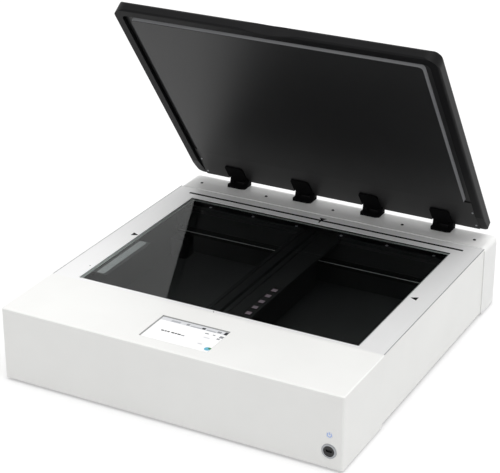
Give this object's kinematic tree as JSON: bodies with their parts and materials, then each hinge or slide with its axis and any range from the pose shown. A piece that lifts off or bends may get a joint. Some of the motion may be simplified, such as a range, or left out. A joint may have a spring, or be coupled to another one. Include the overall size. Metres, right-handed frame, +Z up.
{
  "type": "flatbed scanner",
  "caption": "Large-format flatbed scanner with a white casing, dark glass platen, touch panel in the front deck and a hinged black lid standing open.",
  "frame": {"origin": "on the table under the middle of the footprint", "axes": "+X to the right as seen from the front, +Y from the front panel to the hinges, +Z up"},
  "size_m": [0.755, 0.7966, 0.6841],
  "materials": {
    "white_paint": "fine satin powder coat, white",
    "strip_paint": "semi-gloss powder coat, very light grey",
    "frame_metal": "satin anodised, light",
    "platen_glass": "clear float glass over a black tub",
    "touch_glass": "glossy touch glass",
    "display": "lit liquid crystal display",
    "black_tub": "matt black sheet steel",
    "zinc_steel": "zinc-plated steel",
    "ground_steel": "ground guide rod",
    "gasket_rubber": "black rubber",
    "foot_rubber": "matt black rubber",
    "lid_plastic": "fine-grained black moulding",
    "lid_plate": "satin black sheet",
    "lid_sheet": "black anodised sheet",
    "pad_foam": "light grey closed-cell foam edge",
    "pad_film": "satin black film",
    "hinge_black": "black e-coated steel",
    "screw_zinc": "small pan-head screw",
    "screw_black": "blackened screw",
    "button_cap": "translucent cap lit blue from behind",
    "inner_black": "black moulding",
    "bezel_chrome": "polished ring",
    "belt_rubber": "toothed rubber belt",
    "pulley_alu": "turned",
    "board_green": "circuit board",
    "supply_case": "perforated steel case",
    "lamp_white": "diffusing lamp cover",
    "sensor_white": "pale square windows in a dark strip",
    "calibration_white": "flat white reference",
    "bush_brass": "sintered bush",
    "front_mirror": "front-silvered mirror",
    "panel_grey": "grey sheet"
  },
  "bodies": {
    "casing": {"base_plate": "black_tub", "button_housing": "inner_black", "calibration_strip": "calibration_white", "display_module": "display", "drive_belt": "belt_rubber", "drive_motor": "hinge_black", "fan_frame": "inner_black", "feet": "foot_rubber", "front_cover": "white_paint", "glass_gasket": "gasket_rubber", "guide_rod": "ground_steel", "hinge_base_1": "hinge_black", "hinge_base_2": "hinge_black", "hinge_base_3": "hinge_black", "hinge_base_4": "hinge_black", "hinge_beam": "zinc_steel", "hinge_pins": "zinc_steel", "idler_bracket": "zinc_steel", "main_board": "board_green", "mains_inlet": "inner_black", "mains_switch": "inner_black", "network_socket": "inner_black", "platen_frame": "frame_metal", "platen_glass": "platen_glass", "power_supply": "supply_case", "rail_screws": "screw_zinc", "rear_cover": "strip_paint", "rear_panel": "panel_grey", "rear_rail": "black_tub", "rod_supports": "black_tub", "scan_tub": "black_tub", "side_panel_left": "white_paint", "side_panel_right": "white_paint", "strip_screws": "screw_black", "touchscreen": "touch_glass", "usb_bezel": "bezel_chrome", "usb_socket": "inner_black"},
    "button": {"power_button": "button_cap"},
    "fan": {"fan_rotor": "inner_black"},
    "rocker": {"mains_rocker": "inner_black"},
    "motor_pulley": {"motor_pulley": "pulley_alu"},
    "idler_pulley": {"idler_pulley": "pulley_alu"},
    "carriage": {"carriage_body": "inner_black", "rod_bushes": "bush_brass", "slide_block": "inner_black", "lamp_bars": "lamp_white", "sensor_strip": "sensor_white", "folding_mirror": "front_mirror"},
    "lid": {"lid_shell": "lid_plastic", "lid_backing_plate": "lid_sheet", "lid_hinge_plate": "lid_plate", "lid_pad_foam": "pad_foam", "lid_pad_film": "pad_film", "lid_screws": "screw_zinc", "hinge_leaf_1": "hinge_black", "hinge_leaf_2": "hinge_black", "hinge_leaf_3": "hinge_black", "hinge_leaf_4": "hinge_black"}
  },
  "joints": [
    {"name": "lid_hinge", "type": "hinge", "parent": "casing", "child": "lid", "pos_m": [0, 0.3845, 0.176], "axis": [-1, 0, 0], "range_deg": [-54.6, 25]},
    {"name": "carriage_slide", "type": "slide", "parent": "casing", "child": "carriage", "axis": [1, 0, 0], "range_m": [-0.298, 0.285]},
    {"name": "motor_spin", "type": "hinge", "parent": "casing", "child": "motor_pulley", "pos_m": [-0.328, 0.2325, 0.091], "axis": [0, 0, 1], "range_deg": [-1620, 1620]},
    {"name": "idler_spin", "type": "hinge", "parent": "casing", "child": "idler_pulley", "pos_m": [0.328, 0.2325, 0.091], "axis": [0, 0, 1], "range_deg": [-1620, 1620]},
    {"name": "power_press", "type": "slide", "parent": "casing", "child": "button", "axis": [0, 1, 0], "range_m": [0, 0.0015], "stiffness_N_per_m": 600},
    {"name": "fan_spin", "type": "hinge", "parent": "casing", "child": "fan", "pos_m": [0.21, 0.3838, 0.084], "axis": [0, 1, 0], "continuous": true},
    {"name": "mains_rock", "type": "hinge", "parent": "casing", "child": "rocker", "pos_m": [-0.228, 0.3915, 0.072], "axis": [1, 0, 0], "range_deg": [-7, 7]}
  ],
  "couplings": [
    {"joint": "motor_spin", "follows": "carriage_slide", "rad_per_m": 93.458},
    {"joint": "idler_spin", "follows": "carriage_slide", "rad_per_m": 93.458}
  ]
}
